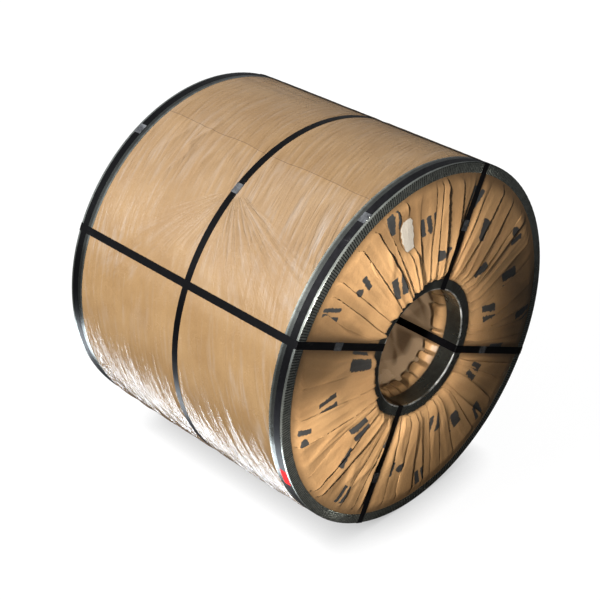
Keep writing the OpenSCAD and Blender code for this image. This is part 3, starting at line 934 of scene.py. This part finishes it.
# %% [markdown]
# Metal of the rings, straps and seals
# The rings and seals are galvanised sheet, which is cloudy grey with a faint green cast. The straps are
# black paint over steel, scuffed in places. These pieces stay as the CAD made them and only change their
# finish. Painted shade in the flutes' hollows and on the legs, and a painted highlight on the eye's lip, are
# laid over the metal by place: a point's distance along the axis, its radius or its angle says where it
# belongs. Painting by hand would do too, but would need a map.

# %% Cloudy metal
SCUFF_TONE = (0.62, 0.63, 0.63, 1)


def metal_finish(name, light, dark, low_rough, high_rough, amount, metallic, cloud_scale=38.0):
    """Cloudy metal between two colours, rougher in its clouds, with pale scuffs."""
    finish, tree, shader, place = new_finish(name, Metallic=metallic)
    scuff = use_group(tree, scuff_group, {"Vector": place, "Amount": amount})
    clouds = noise(tree, place, cloud_scale, 4.0, 0.65)
    colour = blend(tree, band(tree, clouds, 0.35, 0.65), light, dark)
    tree.links.new(blend(tree, scuff["Mask"], colour, SCUFF_TONE), shader.inputs["Base Color"])
    tree.links.new(band(tree, clouds, 0.3, 0.7, low_rough, high_rough), shader.inputs["Roughness"])
    set_bump(tree, shader, maths(tree, "ADD", clouds, scuff["Mask"]), 0.12, 0.002)
    return finish


# %% Painted shade in flutes and on legs, and a painted lip highlight
FLUTES = 440
FLUTED_LEG_X = 0.6255
LEG_SHADE_STARTS_X, LEG_SHADE_ENDS_X = (RING_START_X + 0.004, RING_START_X + 0.012), (0.612, 0.606)
LIP_R, LIP_X = (0.2580, 0.2555), (0.6195, 0.6225)
RING_METALLIC = 0.9
# Tones of the painted shade in the flutes and on the legs, and of the painted lip highlight
FLUTE_SHADE_TONE, LEG_SHADE_TONE, LIP_HIGHLIGHT_TONE = (0.025, 0.024, 0.020, 1), (0.035, 0.037, 0.036, 1), (0.85, 0.88, 0.86, 1)


def coil_place(finish):
    """The finish's tree and place, then a point's y and height from the axis, and its distance along the axis
    from the middle, to either side."""
    tree = finish.node_tree
    place = tree.nodes["Texture Coordinate"].outputs["Object"]
    parts = add_node(tree, "ShaderNodeSeparateXYZ", {"Vector": place}).outputs
    height = maths(tree, "SUBTRACT", parts["Z"], AXIS_Z)
    along = maths(tree, "ABSOLUTE", maths(tree, "SUBTRACT", parts["X"], MID_X))
    return tree, place, parts["Y"], height, along


def paint_over(finish, share, colour):
    """A colour laid over the finish's own by a share."""
    base = finish.node_tree.nodes["Principled BSDF"].inputs["Base Color"]
    feed(finish.node_tree, base, blend(finish.node_tree, share, base.links[0].from_socket, colour))


def shade_flutes(finish):
    """Painted shade in the hollows of the fluted legs: the angle round the axis times the number of flutes
    gives the place in a flute, and the first half of each is its hollow. Only points near the ends' planes
    are darkened."""
    tree, _, y, height, along = coil_place(finish)
    turn = maths(tree, "MULTIPLY", maths(tree, "ARCTAN2", height, y), FLUTES / (2 * math.pi))
    share = maths(tree, "FLOORED_MODULO", turn, 1.0)
    hollow_shade = maths(tree, "MULTIPLY", band(tree, share, 0.02, 0.10), band(tree, share, 0.50, 0.42))
    on_leg = band(tree, along, FLUTED_LEG_X, FLUTED_LEG_X + 0.0002)
    # Painted shade in the flutes' hollows
    flute_shade = maths(tree, "MULTIPLY", maths(tree, "MULTIPLY", hollow_shade, on_leg), 0.95)
    paint_over(finish, flute_shade, FLUTE_SHADE_TONE)


def shade_legs(finish):
    """Painted shade on the legs that lie along the barrel, which darkens what they mirror: dark between a
    bright edge at the ring's start and the strap, and left as it is beyond the strap. Only the distance along
    the axis is needed."""
    tree, _, _, _, along = coil_place(finish)
    # Painted shade in the middle of each leg
    leg_shade = maths(tree, "MULTIPLY", band(tree, along, *LEG_SHADE_STARTS_X), band(tree, along, *LEG_SHADE_ENDS_X))
    paint_over(finish, maths(tree, "MULTIPLY", leg_shade, 0.80), LEG_SHADE_TONE)


def paint_lip_highlight(finish):
    """A painted highlight: a bright line along the eye's corner, where the inner ring's bend catches the
    light:
    points whose squared radius and distance along the axis are both close to the corner's. It is painted pale
    and less metallic, so it shows in any light."""
    tree, place, y, height, along = coil_place(finish)
    squares = [maths(tree, "MULTIPLY", value, value) for value in (y, height)]
    near_corner = band(tree, maths(tree, "ADD", *squares), LIP_R[0] ** 2, LIP_R[1] ** 2)
    lip = maths(tree, "MULTIPLY", near_corner, band(tree, along, *LIP_X))
    patchy = band(tree, noise(tree, place, 14.0, 3.0), 0.42, 0.62, 0.12, 1.0)
    # Painted highlight, broken up by noise
    lip_highlight = maths(tree, "MULTIPLY", lip, patchy)
    paint_over(finish, lip_highlight, LIP_HIGHLIGHT_TONE)
    shader = tree.nodes["Principled BSDF"]
    tree.links.new(band(tree, lip_highlight, 0.0, 1.0, RING_METALLIC, 0.15), shader.inputs["Metallic"])


# %% Metal finishes
RING_LIGHT, RING_DARK = (0.34, 0.36, 0.33, 1), (0.19, 0.205, 0.19, 1)
DULL_LIGHT, DULL_DARK = (0.16, 0.17, 0.15, 1), (0.085, 0.085, 0.075, 1)
SEAL_LIGHT, SEAL_DARK = (0.50, 0.51, 0.52, 1), (0.14, 0.14, 0.15, 1)
STRAP_LIGHT, STRAP_DARK = (0.004, 0.004, 0.005, 1), (0.002, 0.002, 0.0025, 1)
STEEL_LIGHT, STEEL_DARK = (0.42, 0.43, 0.44, 1), (0.34, 0.35, 0.36, 1)
ring_metal = metal_finish("galvanised_ring", RING_LIGHT, RING_DARK, 0.16, 0.30, 0.4, RING_METALLIC)
shade_flutes(ring_metal)
shade_legs(ring_metal)
dark_metal = metal_finish("dull_inner_ring", DULL_LIGHT, DULL_DARK, 0.22, 0.38, 0.2, RING_METALLIC, 10.0)
paint_lip_highlight(dark_metal)
seal_metal = metal_finish("bright_seal", SEAL_LIGHT, SEAL_DARK, 0.12, 0.26, 0.6, 1.0)
strap_paint = metal_finish("black_strap", STRAP_LIGHT, STRAP_DARK, 0.28, 0.40, 0.04, 0.0)
strap_paint.node_tree.nodes["Principled BSDF"].inputs["Specular IOR Level"].default_value = 0.10
steel = metal_finish("coil_steel", STEEL_LIGHT, STEEL_DARK, 0.30, 0.40, 0.3, 1.0)
print("Metals:", [metal.name for metal in (ring_metal, dark_metal, seal_metal, strap_paint, steel)])

# %% [markdown]
# Label and tag
# The label is dull white paper and the tag is red tape. Both are dirtied a little by the kraft paper group.

# %% Label and tag finishes
LABEL_LIGHT, LABEL_DARK = (0.60, 0.56, 0.50, 1), (0.40, 0.36, 0.30, 1)
TAPE_LIGHT, TAPE_DARK = (0.60, 0.020, 0.022, 1), (0.42, 0.012, 0.016, 1)
label_paper, tree, shader, place, _ = kraft_finish("label_paper", 0.3, LABEL_LIGHT, LABEL_DARK)
set_bump(tree, shader, noise(tree, place, 90.0, 3.0), 0.4, 0.002)
torn_label.data.materials.append(label_paper)
red_tape, tree, shader, place, _ = kraft_finish("red_tape", 0.15, TAPE_LIGHT, TAPE_DARK)
set_bump(tree, shader, noise(tree, place, 60.0, 2.0), 0.3, 0.002)
print("Papers:", label_paper.name, red_tape.name)

# %% Finishes for the CAD pieces that stay
SLOT_FINISH = {
    "steel": steel,
    "ring_metal": ring_metal,
    "strap": strap_paint,
    "seal": seal_metal,
    "tag": red_tape,
}
for subpart in frame["record"]["subparts"]:
    name, slot = subpart["node"], subpart["material_slot"]
    if slot in SLOT_FINISH:
        cad[name].data.materials.clear()
        cad[name].data.materials.append(dark_metal if "inner_ring" in name else SLOT_FINISH[slot])
        print(name, "is finished in", cad[name].data.materials[0].name)

# %% [markdown]
# Handing the pieces to the frame
# Each new piece rides on the coil's one body, and the CAD nodes that it stands for are hidden. The table
# also names a slot of the record for each piece.

# %% Bodies, and the CAD nodes that the pieces replace
PIECES = [
    (barrel_film, "film", ("stretch_film", "barrel_paper")),
    (front_cover, "cover_kraft", ("front_end_cover",)),
    (rear_cover, "cover_kraft", ("rear_end_cover",)),
    (eye_liner, "barrel_kraft", ("bore_liner",)),
    (torn_label, "label", ("blank_label",)),
]
for piece, slot, stands_for in PIECES:
    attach(piece, "root")
    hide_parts(*stands_for)

# %% [markdown]
# Linking the lamps
# In a studio, flags keep a spot off what it shouldn't light. Light linking does that by name: the end's
# spots reach the front end and leave the barrel, the eye's spot stays on the liner and the cover, and each
# panel on the floor glints in its own pieces alone.

# %% What each lamp may light
def light_only(name, lamps, pieces):
    """A collection of the pieces, which the lamps then light alone."""
    lit = bpy.data.collections.new(name)
    for piece in pieces:
        lit.objects.link(piece)
    for lamp in lamps:
        lamp.light_linking.receiver_collection = lit


front_nodes = [
    node_object for name, node_object in cad.items()
    if name.startswith(("front_", "eye_strap", "red_tag")) and not node_object.hide_render
]
metal_nodes = [node_object for name, node_object in cad.items() if "ring" in name or "strap" in name]
light_only("front_end", end_spots, [*front_nodes, front_cover, torn_label])
light_only("eye", [eye_spot], [eye_liner, front_cover])
light_only("film", [film_panel], [barrel_film])
light_only("metal", [metal_panel], metal_nodes)
